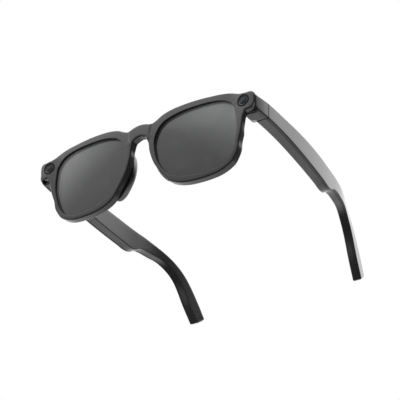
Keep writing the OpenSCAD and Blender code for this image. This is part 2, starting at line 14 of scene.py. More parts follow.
import bmesh
import bpy
from mathutils import Matrix, Vector
from mathutils.geometry import delaunay_2d_cdt
from mathutils.kdtree import KDTree


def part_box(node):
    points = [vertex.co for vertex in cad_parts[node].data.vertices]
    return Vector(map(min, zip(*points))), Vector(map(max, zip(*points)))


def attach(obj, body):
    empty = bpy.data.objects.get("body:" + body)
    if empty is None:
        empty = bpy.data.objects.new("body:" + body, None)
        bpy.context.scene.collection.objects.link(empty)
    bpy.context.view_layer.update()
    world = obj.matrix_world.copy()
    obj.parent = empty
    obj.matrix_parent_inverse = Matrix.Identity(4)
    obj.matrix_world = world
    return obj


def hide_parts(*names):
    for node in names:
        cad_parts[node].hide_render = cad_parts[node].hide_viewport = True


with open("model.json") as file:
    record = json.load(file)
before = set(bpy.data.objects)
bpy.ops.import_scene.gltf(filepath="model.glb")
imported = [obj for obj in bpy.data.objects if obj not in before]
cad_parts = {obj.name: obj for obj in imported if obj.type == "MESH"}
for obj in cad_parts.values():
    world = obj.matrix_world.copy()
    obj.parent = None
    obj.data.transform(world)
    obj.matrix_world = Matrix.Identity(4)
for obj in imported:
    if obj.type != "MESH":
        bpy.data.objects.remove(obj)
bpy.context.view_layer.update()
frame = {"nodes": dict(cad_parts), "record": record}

MM = 0.001
PARTING_Y = 14.6      # where the front and the temples part, at the hinge pins
SEAM = 0.05           # gap between two pieces that lie against each other
log = logging.getLogger("smart_glasses")

Pair = tuple[float, float]
Ring = list[Vector]
Place = Callable[[float, float, float], Vector]


class Side(Enum):
    """The wearer's side that a piece belongs to."""

    LEFT = 1
    RIGHT = -1

    @property
    def label(self) -> str:
        """The word that the side's node names end with."""
        return self.name.lower()


# ---- shader graphs ----------------------------------------------------------------------------


class Wire:
    """A shader socket that takes part in arithmetic, adding Math nodes as it goes."""

    def __init__(self, graph: "Graph", socket: bpy.types.NodeSocket) -> None:
        """Wraps a socket.

        Args:
            graph: the graph that new nodes go into.
            socket: an output socket of one of its nodes.
        """
        self.graph = graph
        self.socket = socket

    def __add__(self, other: "Term") -> "Wire":
        """Sum."""
        return self.graph.maths("ADD", self, other)

    __radd__ = __add__

    def __sub__(self, other: "Term") -> "Wire":
        """Difference."""
        return self.graph.maths("SUBTRACT", self, other)

    def __rsub__(self, other: "Term") -> "Wire":
        """Difference, with the wire second."""
        return self.graph.maths("SUBTRACT", other, self)

    def __mul__(self, other: "Term") -> "Wire":
        """Product."""
        return self.graph.maths("MULTIPLY", self, other)

    __rmul__ = __mul__

    def __pow__(self, other: "Term") -> "Wire":
        """Power."""
        return self.graph.maths("POWER", self, other)

    def above(self, edge: float, width: float) -> "Wire":
        """A smooth step from 0 to 1 as the value passes an edge.

        Args:
            edge: the value at the middle of the step.
            width: how wide the step is.

        Returns:
            The mask.
        """
        settings = {"interpolation_type": "SMOOTHSTEP"}
        values = {"Value": self, "From Min": edge - width / 2, "From Max": edge + width / 2}
        return Wire(self.graph, self.graph.node("ShaderNodeMapRange", settings, values).outputs["Result"])


Term = Union[Wire, float]
Colour = tuple[float, float, float]


class Graph:
    """A material's or the world's node tree."""

    def __init__(self, tree: bpy.types.NodeTree) -> None:
        """Empties the tree and keeps it.

        Args:
            tree: the node tree to fill.
        """
        self.tree = tree
        tree.nodes.clear()

    def node(self, kind: str, settings: dict | None = None, inputs: dict | None = None) -> bpy.types.Node:
        """Adds a node.

        Args:
            kind: the node's type.
            settings: its properties, such as operation.
            inputs: values or wires for its sockets, by name or number.

        Returns:
            The node.
        """
        made = self.tree.nodes.new(kind)
        for name, value in (settings or {}).items():
            setattr(made, name, value)
        for name, value in (inputs or {}).items():
            socket = made.inputs[name]
            if isinstance(value, Wire):
                self.tree.links.new(value.socket, socket)
            elif socket.type == "RGBA":
                socket.default_value = (*value, 1)
            else:
                socket.default_value = value
        return made

    def maths(self, operation: str, *values: Term) -> Wire:
        """A Math node's result."""
        made = self.node("ShaderNodeMath", {"operation": operation}, dict(enumerate(values)))
        return Wire(self, made.outputs[0])

    def vectors(self, operation: str, *values: Union[Wire, Colour]) -> Wire:
        """A Vector Math node's result."""
        made = self.node("ShaderNodeVectorMath", {"operation": operation}, dict(enumerate(values)))
        return Wire(self, made.outputs["Vector"])

    def mix(self, factor: Term, first: Union[Wire, Colour], second: Union[Wire, Colour]) -> Wire:
        """Blends two colours.

        Args:
            factor: 0 for the first colour, 1 for the second.
            first: a colour.
            second: another colour.

        Returns:
            The blend.
        """
        made = self.node("ShaderNodeMix", {"data_type": "RGBA"}, {0: factor, 6: first, 7: second})
        return Wire(self, made.outputs[2])

    def place(self) -> Wire:
        """The point's own place on the piece, in metres."""
        return Wire(self, self.node("ShaderNodeTexCoord").outputs["Object"])

    def axes(self) -> tuple[Wire, Wire, Wire]:
        """The place's X, Y and Z, each in metres."""
        split = self.node("ShaderNodeSeparateXYZ", None, {0: self.place()})
        return tuple(Wire(self, out) for out in split.outputs)

    def noise(self, size: float, detail: float = 2.0, stretch: Colour = (1, 1, 1)) -> Wire:
        """Cloudy variation between 0 and 1.

        Args:
            size: the size of one patch, in millimetres.
            detail: how many finer layers it has.
            stretch: how much narrower patches are along each axis.

        Returns:
            The noise.
        """
        scaled = self.vectors("MULTIPLY", self.place(), stretch)
        inputs = {"Vector": scaled, "Scale": 1 / (size * MM), "Detail": detail}
        made = self.node("ShaderNodeTexNoise", None, inputs)
        return Wire(self, made.outputs[0])

    def bump(self, height: Wire, distance: float, strength: float = 1.0) -> Wire:
        """A normal that follows a height.

        Args:
            height: the height, from 0 to 1.
            distance: what a height of 1 means, in millimetres.
            strength: how much of it shows.

        Returns:
            The normal.
        """
        values = {"Height": height, "Distance": distance * MM, "Strength": strength}
        return Wire(self, self.node("ShaderNodeBump", None, values).outputs[0])


# ---- finishes ---------------------------------------------------------------------------------


@dataclass(frozen=True)
class Finish:
    """What a surface looks like; a subclass says how its detail is drawn."""

    slot: str
    colour: Colour
    roughness: float

    def detail(self, graph: Graph) -> dict:
        """The sockets that this finish fills, beside its plain colour and roughness."""
        return {"Base Color": graph.mix(graph.noise(8), self.colour, tuple(0.85 * c for c in self.colour))}

    def material(self) -> bpy.types.Material:
        """Makes the finish's material, or finds the one made before.

        Returns:
            The material.
        """
        name = f"{self.slot}_finish"
        if name in bpy.data.materials:
            return bpy.data.materials[name]
        made = bpy.data.materials.new(name)
        made.use_nodes = True
        graph = Graph(made.node_tree)
        values = {"Base Color": self.colour, "Roughness": self.roughness, **self.detail(graph)}
        shader = graph.node("ShaderNodeBsdfPrincipled", None, values)
        graph.node("ShaderNodeOutputMaterial", None, {"Surface": Wire(graph, shader.outputs[0])})
        return made


@dataclass(frozen=True)
class Moulded(Finish):
    """Injection-moulded plastic: a fine grain, faint flow marks and handling marks."""

    grain: float = 0.004      # depth of the grain
    coat: float = 0.0
    specular: float = 0.5

    def detail(self, graph: Graph) -> dict:
        """Grain, slow colour drift and wiped streaks."""
        drift = graph.noise(14, 3)
        grain = graph.noise(0.16, 2)
        streaks = graph.noise(1.6, 4, (1, 0.18, 1))
        dark = tuple(0.86 * c for c in self.colour)
        light = tuple(1.12 * c for c in self.colour)
        return {
            "Base Color": graph.mix(drift, dark, light),
            "Roughness": self.roughness * (0.82 + 0.2 * streaks + 0.16 * grain),
            "Normal": graph.bump(grain, self.grain, 0.3),
            "Coat Weight": self.coat,
            "Coat Roughness": 0.12,
            "Specular IOR Level": self.specular,
        }


@dataclass(frozen=True)
class TintedLens(Finish):
    """Grey tinted lens with a painted reflection that lightens it towards the outer top corner, and a faint
    wiped smudge.
    """

    # the lightest colour of the painted reflection
    painted_reflection_colour: Colour = (0.16, 0.162, 0.165)
    reach: float = 60.0       # distance across over which the painted reflection lightens the tint
    middle: float = 25.0      # height at which the painted reflection neither darkens nor lightens the lens
    rise: float = 42.0        # height over which the painted reflection lightens it

    def detail(self, graph: Graph) -> dict:
        """The painted reflection's slope over the lens, and the smudge."""
        across, _, height = graph.axes()
        outwards = graph.maths("ABSOLUTE", across) * (1 / self.reach / MM) + (
            height - self.middle * MM) * (1 / self.rise / MM)
        # painted reflection: the lens's colour lightens towards its outer top corner
        painted_reflection = outwards.above(1.05, 1.3)
        smudge = graph.noise(11, 3).above(0.62, 0.3)
        tint_and_painted_reflection = graph.mix(painted_reflection, self.colour, self.painted_reflection_colour)
        wiped = graph.mix(smudge * 0.03, tint_and_painted_reflection, (0.3, 0.3, 0.31))
        return {
            "Base Color": wiped,
            "Roughness": self.roughness + 0.1 * smudge + 0.02 * graph.noise(0.5),
            "Normal": graph.bump(graph.noise(14), 0.006, 0.3),
            "Specular IOR Level": 0.3,
        }


@dataclass(frozen=True)
class CoatedGlass(Finish):
    """Small dark window with a painted sheen that lightens its colour where the dome is seen at a grazing
    angle.
    """

    # the colour of the painted sheen at the dome's grazing edge
    painted_sheen_tone: Colour = (0.02, 0.026, 0.032)

    def detail(self, graph: Graph) -> dict:
        """The painted sheen's tone and fine dust."""
        # painted sheen: the window's colour turns lighter where it is seen at a grazing angle
        facing = Wire(graph, graph.node("ShaderNodeLayerWeight", None, {"Blend": 0.35}).outputs["Facing"])
        dust = graph.noise(0.35, 3).above(0.72, 0.1)
        return {
            "Base Color": graph.mix(facing * 0.5, self.colour, self.painted_sheen_tone),
            "Roughness": self.roughness + 0.25 * dust,
            "Normal": graph.bump(graph.noise(2), 0.004, 0.3),
            "Specular IOR Level": 0.1,
        }


@dataclass(frozen=True)
class Metal(Finish):
    """Rolled, drawn or plated metal with a brushed direction."""

    brush: Colour = (1, 1, 30)   # how much finer the marks are along each axis
    dents: float = 0.006

    def detail(self, graph: Graph) -> dict:
        """Brush marks and a slight stain."""
        marks = graph.noise(0.5, 3, self.brush)
        stain = graph.noise(3, 3)
        return {
            "Base Color": graph.mix(stain, tuple(0.8 * c for c in self.colour), self.colour),
            "Roughness": self.roughness + 0.18 * marks + 0.08 * stain,
            "Normal": graph.bump(marks, self.dents, 0.5),
            "Metallic": 1.0,
        }


@dataclass(frozen=True)
class Tracks(Finish):
    """A film or board with conductors on it, under a clear cover or mask."""

    metal: Colour = (0.5, 0.22, 0.08)
    pitch: float = 0.5        # from one conductor to the next
    share: float = 0.45       # share of the pitch that is conductor
    axis: int = 2             # axis across the conductors
    blotches: float = 0.0     # size of the parts on a board, or 0 for none

    def detail(self, graph: Graph) -> dict:
        """Straight conductors, and the blocks of small parts if there are any."""
        across = graph.axes()[self.axis] * (1 / self.pitch / MM)
        wave = graph.maths("FRACT", across)
        conductor = 1 - wave.above(self.share, 0.08)
        if self.blotches:
            cells = graph.node("ShaderNodeTexVoronoi", {"distance": "CHEBYCHEV"},
                               {"Vector": graph.place(), "Scale": 1 / (self.blotches * MM)})
            block = 1 - Wire(graph, cells.outputs["Distance"]).above(0.3, 0.04)
            ground = graph.mix(conductor * 0.25, self.colour, self.metal)
            base = graph.mix(block * 0.8, ground, (0.02, 0.02, 0.022))
            raised = block + conductor * 0.2
        else:
            base = graph.mix(conductor * 0.7, self.colour, self.metal)
            raised = conductor
        return {
            "Base Color": base,
            "Roughness": self.roughness + 0.15 * graph.noise(1.5),
            "Normal": graph.bump(raised, 0.03, 0.6),
        }


@dataclass(frozen=True)
class Foil(Finish):
    """The crinkled metal pouch of a battery cell."""

    def detail(self, graph: Graph) -> dict:
        """Creases pressed into the foil."""
        creases = graph.noise(1.6, 5)
        folds = 1 - graph.maths("ABSOLUTE", creases - 0.5) * 6
        return {
            "Base Color": graph.mix(graph.noise(6), self.colour, tuple(0.8 * c for c in self.colour)),
            "Roughness": self.roughness + 0.2 * graph.noise(2, 3),
            "Normal": graph.bump(folds, 0.05, 0.5),
            "Metallic": 1.0,
        }


@dataclass(frozen=True)
class Woven(Finish):
    """Fine woven wire cloth."""

    pitch: float = 0.22

    def detail(self, graph: Graph) -> dict:
        """The wires that cross over and under each other, with painted shade in the hollows between them."""
        across, along, _ = graph.axes()
        turn = math.tau / (self.pitch * MM)
        weave = graph.maths("SINE", across * turn) * graph.maths("SINE", along * turn)
        lit = weave.above(0.0, 1.2)
        return {
            # painted shade: near-black where the weave dips between the wires
            "Base Color": graph.mix(lit, (0.008, 0.008, 0.008), self.colour),
            "Roughness": self.roughness + 0.2 * (1 - lit),
            "Normal": graph.bump(lit, 0.05, 0.8),
            "Metallic": 0.8,
        }


@dataclass(frozen=True)
class Ceramic(Finish):
    """The white package of a light-emitting diode, yellow where its phosphor is."""

    def detail(self, graph: Graph) -> dict:
        """The phosphor's uneven layer."""
        grains = graph.noise(0.12, 3)
        return {
            "Base Color": graph.mix(grains.above(0.45, 0.4) * 0.6, self.colour, (0.85, 0.7, 0.22)),
            "Roughness": self.roughness + 0.2 * grains,
            "Normal": graph.bump(grains, 0.01, 0.5),
        }


FINISHES = {finish.slot: finish for finish in (
    Moulded("frame_plastic", (0.012, 0.012, 0.013), 0.17, grain=0.0003, specular=0.34),
    Moulded("shell_plastic", (0.013, 0.013, 0.014), 0.19, grain=0.0003, specular=0.3),
    Moulded("body_plastic", (0.012, 0.012, 0.013), 0.22, grain=0.0002),
    Moulded("pad_plastic", (0.006, 0.006, 0.007), 0.10, grain=0.001, coat=0.3),
    Moulded("bezel_gloss", (0.003, 0.003, 0.004), 0.10, grain=0.0003, specular=0.05),
    Moulded("button_plastic", (0.02, 0.02, 0.022), 0.22, grain=0.002),
    Moulded("barrel_black", (0.012, 0.012, 0.013), 0.4, grain=0.004, specular=0.3),
    Moulded("speaker_black", (0.02, 0.02, 0.021), 0.5, grain=0.01),
    TintedLens("tinted_lens", (0.020, 0.0205, 0.0215), 0.05),
    CoatedGlass("camera_glass", (0.006, 0.008, 0.010), 0.04),
    CoatedGlass("light_glass", (0.010, 0.011, 0.013), 0.08, painted_sheen_tone=(0.03, 0.032, 0.034)),
    Metal("spring_steel", (0.32, 0.32, 0.33), 0.30),
    Metal("screw_steel", (0.45, 0.45, 0.47), 0.22, brush=(12, 12, 12), dents=0.003),
    Metal("can_metal", (0.6, 0.59, 0.55), 0.3, brush=(1, 1, 12)),
    Metal("gold_contact", (0.83, 0.6, 0.24), 0.2, brush=(1, 8, 8), dents=0.002),
    Metal("magnet_nickel", (0.62, 0.62, 0.6), 0.16, brush=(1, 10, 10), dents=0.002),
    Tracks("flex_film", (0.42, 0.2, 0.05), 0.35, pitch=0.5),
    Tracks("touch_film", (0.4, 0.26, 0.09), 0.35, metal=(0.6, 0.3, 0.14), pitch=1.1, share=0.8),
    Tracks("circuit_board", (0.012, 0.09, 0.035), 0.3, metal=(0.3, 0.3, 0.14), pitch=0.8, blotches=2.2),
    Foil("battery_foil", (0.7, 0.71, 0.73), 0.28),
    Woven("steel_mesh", (0.16, 0.16, 0.165), 0.4),
    Ceramic("led_ceramic", (0.85, 0.84, 0.78), 0.4),
)}


# ---- curves and meshes ------------------------------------------------------------------------


def evenly(points: Ring, step: float, closed: bool) -> Ring:
    """Spaces points evenly along a line of points.

    Args:
        points: the line.
        step: the wanted spacing.
        closed: whether the line returns to its first point.

    Returns:
        The new points.
    """
    line = points + points[:1] if closed else points
    run = [0.0]
    for a, b in zip(line, line[1:]):
        run.append(run[-1] + (b - a).length)
    count = max(3, round(run[-1] / step))
    spaced = []
    k = 0
    for i in range(count if closed else count + 1):
        wanted = run[-1] * i / count
        while k < len(line) - 2 and run[k + 1] < wanted:
            k += 1
        span = run[k + 1] - run[k]
        spaced.append(line[k].lerp(line[k + 1], (wanted - run[k]) / span if span else 0))
    return spaced


def curve(points: Sequence[Pair], step: float, closed: bool = False) -> Ring:
    """Runs a smooth curve through points.

    Args:
        points: the points it passes.
        step: the spacing of the result.
        closed: whether it returns to the first point.

    Returns:
        Points along the curve.
    """
    knots = [Vector(p) for p in points]
    count = len(knots)

    def knot(i: int) -> Vector:
        """The point at a place in the list, round the end if closed."""
        return knots[i % count] if closed else knots[max(0, min(count - 1, i))]

    def heading(i: int) -> Vector:
        """The curve's direction at a point, from the lengths on both sides."""
        before = knot(i) - knot(i - 1)
        after = knot(i + 1) - knot(i)
        if before.length == 0 or after.length == 0:
            return (before + after).normalized()
        a, b = before.length, after.length
        return (before / a * b + after / b * a) / (a + b)

    fine = []
    parts = 12
    for i in range(count if closed else count - 1):
        p, q = knot(i), knot(i + 1)
        length = (q - p).length
        m, n = heading(i) * length, heading(i + 1) * length
        for j in range(parts):
            t = j / parts
            fine.append(p * (2 * t**3 - 3 * t**2 + 1) + m * (t**3 - 2 * t**2 + t)
                        + q * (3 * t**2 - 2 * t**3) + n * (t**3 - t**2))
    if not closed:
        fine.append(knots[-1])
    return evenly(fine, step, closed)


def moved(ring: Ring, width: float) -> Ring:
    """Moves a counterclockwise outline outwards along its normals.

    Args:
        ring: the outline.
        width: how far; negative moves it inwards.

    Returns:
        The moved outline.
    """
    out = []
    for i, point in enumerate(ring):
        along = ring[(i + 1) % len(ring)] - ring[i - 1]
        out.append(point + Vector((along.y, -along.x)).normalized() * width)
    return out


def step(value: float) -> float:
    """A smooth step from 0 to 1 as the value goes from 0 to 1."""
    t = max(0.0, min(1.0, value))
    return t * t * (3 - 2 * t)


def reader(points: Sequence[Pair]) -> Callable[[float], float]:
    """A function that reads the height of a smooth curve at a place along it.

    Args:
        points: the curve's points, in order along its first axis.

    Returns:
        The function.
    """
    line = curve(points, 0.5)

    def read(place: float) -> float:
        """The curve's second value at a place."""
        for a, b in zip(line, line[1:]):
            if place <= b.x:
                return a.y + (b.y - a.y) * (place - a.x) / (b.x - a.x)
        return line[-1].y

    return read


def fillet(radius: float, start: float = 0.0, parts: int = 5) -> list[Pair]:
    """A rounded edge from a flat face to its wall.

    Args:
        radius: the edge's radius.
        start: the depth of the face.
        parts: how many flats it has.

    Returns:
        Pairs of how far in from the wall and how deep, face first.
    """
    turns = [math.pi / 2 * i / parts for i in range(parts + 1)]
    return [(radius * (1 - math.sin(t)), start + radius * (1 - math.cos(t))) for t in turns]


def closed_edge(radius: float, depth: float, back: float) -> list[Pair]:
    """The whole edge of a plate, rounded at its face and at its back.

    Args:
        radius: the radius at the face.
        depth: the plate's thickness.
        back: the radius at the back.

    Returns:
        Pairs of how far in and how deep, from the face to the back.
    """
    rear = [(inset, depth - d) for inset, d in reversed(fillet(back))]
    return fillet(radius) + rear


def inside(ring: Ring, place: Vector) -> bool:
    """Whether a flat place lies inside an outline."""
    crossings = 0
    for a, b in zip(ring, ring[1:] + ring[:1]):
        if (a.y > place.y) != (b.y > place.y):
            crossings += place.x < a.x + (b.x - a.x) * (place.y - a.y) / (b.y - a.y)
    return crossings % 2 == 1


class Shape:
    """Points and faces of a mesh in the making, in millimetres."""

    def __init__(self) -> None:
        """Starts empty."""
        self.points: Ring = []
        self.faces: list[tuple[int, ...]] = []

    def ring(self, points: Sequence[Vector]) -> list[int]:
        """Adds points and returns their numbers."""
        first = len(self.points)
        self.points.extend(points)
        return list(range(first, len(self.points)))

    def bridge(self, a: list[int], b: list[int]) -> None:
        """Joins two rings of as many points with four-sided faces."""
        for i in range(len(a)):
            j = (i + 1) % len(a)
            self.faces.append((a[i], a[j], b[j], b[i]))

    def loft(self, rings: Sequence[Sequence[Vector]]) -> None:
        """Skins a row of rings and closes both ends.

        Args:
            rings: the rings, each with as many points.
        """
        numbers = [self.ring(r) for r in rings]
        for a, b in zip(numbers, numbers[1:]):
            self.bridge(a, b)
        self.faces.append(tuple(reversed(numbers[0])))
        self.faces.append(tuple(numbers[-1]))

    def build(self, name: str, finish: Finish, sharp: float = 40) -> bpy.types.Object:
        """Makes the object.

        Args:
            name: the piece's name.
            finish: what it looks like.
            sharp: the angle from which an edge stays sharp, in degrees.

        Returns:
            The object, in the scene.
        """
        mesh = bpy.data.meshes.new(name)
        mesh.from_pydata([p * MM for p in self.points], [], self.faces)
        work = bmesh.new()
        work.from_mesh(mesh)
        bmesh.ops.remove_doubles(work, verts=work.verts, dist=0.002 * MM)
        bmesh.ops.recalc_face_normals(work, faces=work.faces)
        work.to_mesh(mesh)
        work.free()
        mesh.shade_smooth()
        mesh.set_sharp_from_angle(angle=math.radians(sharp))
        made = bpy.data.objects.new(name, mesh)
        made.data.materials.append(finish.material())
        bpy.context.scene.collection.objects.link(made)
        return made


@dataclass
class Plate:
    """A plate cut to an outline, with openings, and any profile round its edges."""

    outline: Ring
    rim: list[Pair]
    openings: list[tuple[Ring, list[Pair]]]
    place: Place
    grid: float = 2.5
    extra: tuple[Pair, ...] = ()

    def cap(self, shape: Shape, rings: list[tuple[Ring, list[int]]], depth: float) -> None:
        """Fills one face of the plate between its rings.

        Args:
            shape: where the faces go.
            rings: each edge's flat outline, and the numbers of its points.
            depth: the face's depth.
        """
        flat: Ring = []
        numbers: list[int] = []
        edges: list[tuple[int, int]] = []
        for ring, known in rings:
            first = len(flat)
            flat.extend(ring)
            numbers.extend(known)
            edges.extend((first + i, first + (i + 1) % len(ring)) for i in range(len(ring)))
        near = KDTree(len(flat))
        for i, p in enumerate(flat):
            near.insert((p.x, p.y, 0), i)
        near.balance()
        low = Vector((min(p.x for p in flat), min(p.y for p in flat)))
        high = Vector((max(p.x for p in flat), max(p.y for p in flat)))
        openings = [ring for ring, _ in rings[1:]]
        inner = [Vector(p) for p in self.extra]
        for i in range(1, int((high.x - low.x) / self.grid) + 1):
            for j in range(1, int((high.y - low.y) / self.grid) + 1):
                point = low + Vector((i, j)) * self.grid
                clear = near.find((point.x, point.y, 0))[2] > 0.55 * self.grid
                if clear and not any(inside(opening, point) for opening in openings):
                    inner.append(point)
        verts, _, faces, sources, _, _ = delaunay_2d_cdt(flat + inner, edges, [], 2, 1e-6)
        index = []
        for point, source in zip(verts, sources):
            if source and source[0] < len(flat):
                index.append(numbers[source[0]])
            else:
                index.append(shape.ring([self.place(point.x, point.y, depth)])[0])
        for face in faces:
            middle = sum((verts[i] for i in face), Vector((0, 0))) / len(face)
            on_edges = all(sources[i] and sources[i][0] < len(flat) for i in face)
            if not (on_edges and any(inside(opening, middle) for opening in openings)):
                shape.faces.append(tuple(index[i] for i in face))

    def shape(self) -> Shape:
        """Builds the plate.

        Returns:
            Its points and faces.
        """
        made = Shape()
        fronts = []
        backs = []
        edges = [(self.outline, self.rim, -1)] + [(ring, lip, 1) for ring, lip in self.openings]
        for outline, profile, sign in edges:
            flats = [moved(outline, sign * inset) for inset, _ in profile]
            rings = [made.ring([self.place(p.x, p.y, depth) for p in flat])
                     for flat, (_, depth) in zip(flats, profile)]
            for a, b in zip(rings, rings[1:]):
                made.bridge(a, b)
            fronts.append((flats[0], rings[0]))
            backs.append((flats[-1], rings[-1]))
        self.cap(made, fronts, self.rim[0][1])
        self.cap(made, backs, self.rim[-1][1])
        return made


def rounded_box(low: float, high: float, near: float, far: float, radii: Sequence[float]) -> list[Pair]:
    """A rounded section of a bar.

    Args:
        low: its lowest place.
        high: its highest place.
        near: depth of its outer side.
        far: depth of its inner side.
        radii: of the corners at high near, high far, low far and low near.

    Returns:
        Pairs of height and depth round the section, as many for any size.
    """
    limit = min(high - low, far - near) * 0.49
    turn = math.pi / 2
    arcs = []
    for quarter, (height, depth) in enumerate(((high, near), (high, far), (low, far), (low, near))):
        radius = min(radii[quarter], limit)
        centre = (height - radius if height == high else height + radius,
                  depth + radius if depth == near else depth - radius)
        angles = [(quarter - 1 + i / 5) * turn for i in range(6)]
        arcs.append([(centre[0] + radius * math.cos(t), centre[1] + radius * math.sin(t)) for t in angles])
    around = []
    for arc, following in zip(arcs, arcs[1:] + arcs[:1]):
        around.extend(arc)
        a, b = arc[-1], following[0]
        around.extend((a[0] + (b[0] - a[0]) * k / 5, a[1] + (b[1] - a[1]) * k / 5) for k in range(1, 5))
    return around


def pin_place() -> Vector:
    """The middle of the left hinge pin in the row's frame, in millimetres."""
    low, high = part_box("hinge_pin_left")
    return (low + high) / 2 / MM


ORIGIN_Y = pin_place().y - PARTING_Y     # where the glasses' own Y begins in the row's frame


def put(x: float, y: float, z: float, side: Side = Side.LEFT) -> Vector:
    """A place of the glasses in the row's frame, mirrored for the wearer's right."""
    return Vector((x * side.value, y + ORIGIN_Y, z))


def carry(piece: bpy.types.Object, body: str, slot: str, *nodes: str) -> bpy.types.Object:
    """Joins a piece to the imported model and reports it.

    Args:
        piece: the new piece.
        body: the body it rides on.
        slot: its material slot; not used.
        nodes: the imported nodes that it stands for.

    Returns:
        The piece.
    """
    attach(piece, body)
    if nodes:
        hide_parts(*nodes)
    log.info("%s rides on %s, %d faces", piece.name, body, len(piece.data.polygons))
    return piece


def carve(piece: bpy.types.Object, cutters: Sequence[Shape]) -> None:
    """Cuts closed shapes out of a piece.

    Args:
        piece: the object that is cut.
        cutters: what is taken away.
    """
    for number, cutter in enumerate(cutters):
        tool = cutter.build(f"cutter_{number}", FINISHES["barrel_black"])
        modifier = piece.modifiers.new("cut", "BOOLEAN")
        modifier.object = tool
        modifier.solver = "EXACT"
        applied = bpy.data.meshes.new_from_object(piece.evaluated_get(bpy.context.evaluated_depsgraph_get()))
        piece.modifiers.clear()
        piece.data = applied
        bpy.data.objects.remove(tool)
    while len(piece.data.materials) > 1:
        piece.data.materials.pop()
    piece.data.set_sharp_from_angle(angle=math.radians(35))


def even_light(piece: bpy.types.Object) -> None:
    """Keeps flat faces flat in the light, by weighting normals by face area."""
    modifier = piece.modifiers.new("face weighted normals", "WEIGHTED_NORMAL")
    modifier.keep_sharp = True


# ---- the front --------------------------------------------------------------------------------


@dataclass(frozen=True)
class FacePlane:
    """The leaning, slightly domed face that the front's pieces are laid out on."""

    datum: float = 24.81      # height of the datum line over the table
    lean: float = 4.94        # forward lean of the top, degrees
    across: float = 0.00095   # how the face falls back sideways, times the square of the distance
    upright: float = 0.0008   # the same, up and down
    forward: float = 2.0      # how far the endpieces stand forward of that curve

    def surface(self, x: float, v: float) -> float:
        """How far the face has fallen back at a place."""
        return self.across * x * x + self.upright * v * v - self.forward * step((abs(x) - 58) / 12)

    def at(self, x: float, v: float, depth: float) -> Vector:
        """The place at a distance across, a height over the datum line and a depth behind the face."""
        y = self.surface(x, v) + depth
        lean = math.radians(self.lean)
        return put(x, y * math.cos(lean) - v * math.sin(lean),
                   self.datum + v * math.cos(lean) + y * math.sin(lean))

    def face_y(self, x: float, z: float) -> float:
        """The face's own Y at a distance across and a height over the table."""
        lean = math.radians(self.lean)
        v = (z - self.datum - self.surface(x, 14) * math.sin(lean)) / math.cos(lean)
        return self.surface(x, v) * math.cos(lean) - v * math.sin(lean)


LENS_EDGE = ((61.4, -0.2), (61.1, 7.4), (59.9, 13.8), (57.1, 17.4), (52.9, 19.5), (46.5, 20.7),
             (40.5, 21.0), (34.3, 21.0), (27.5, 20.5), (20.9, 19.2), (16.1, 17.3), (13.0, 14.5),
             (11.0, 11.1), (9.8, 6.3), (10.1, 0.8), (11.3, -5.4), (13.8, -10.8), (16.5, -14.7),
             (20.4, -18.0), (27.7, -20.8), (33.7, -22.0), (39.7, -22.4), (46.5, -21.9), (51.7, -20.6),
             (55.1, -18.2), (58.2, -13.6), (60.3, -7.0))
FRONT_EDGE = ((4.0, 20.2), (7.7, 19.1), (11.3, 20.4), (14.6, 22.3), (18.0, 23.5), (21.0, 24.2),
              (27.5, 24.9), (34.5, 25.2), (40.0, 25.1), (46.5, 24.7), (52.6, 24.2), (58.4, 23.0),
              (64.5, 20.4), (68.2, 19.7), (71.6, 19.4), (72.9, 18.1), (73.1, 16.4), (72.8, 11.8),
              (71.9, 9.7), (70.4, 8.8), (68.7, 8.5), (67.1, 8.2), (66.8, 7.2), (65.9, 5.4), (65.1, 2.0),
              (64.1, -2.8), (62.3, -8.5), (61.5, -13.1), (59.6, -16.8), (57.5, -19.8), (54.8, -21.8),
              (48.8, -24.3), (42.5, -25.2), (36.4, -25.4), (30.3, -25.0), (24.3, -23.6), (19.3, -21.1),
              (14.6, -15.3), (11.2, -10.4), (9.6, -7.6), (7.9, -3.6), (7.0, -0.6), (6.3, 2.3),
              (5.8, 6.8), (5.1, 9.2), (4.5, 11.0), (2.3, 12.4))


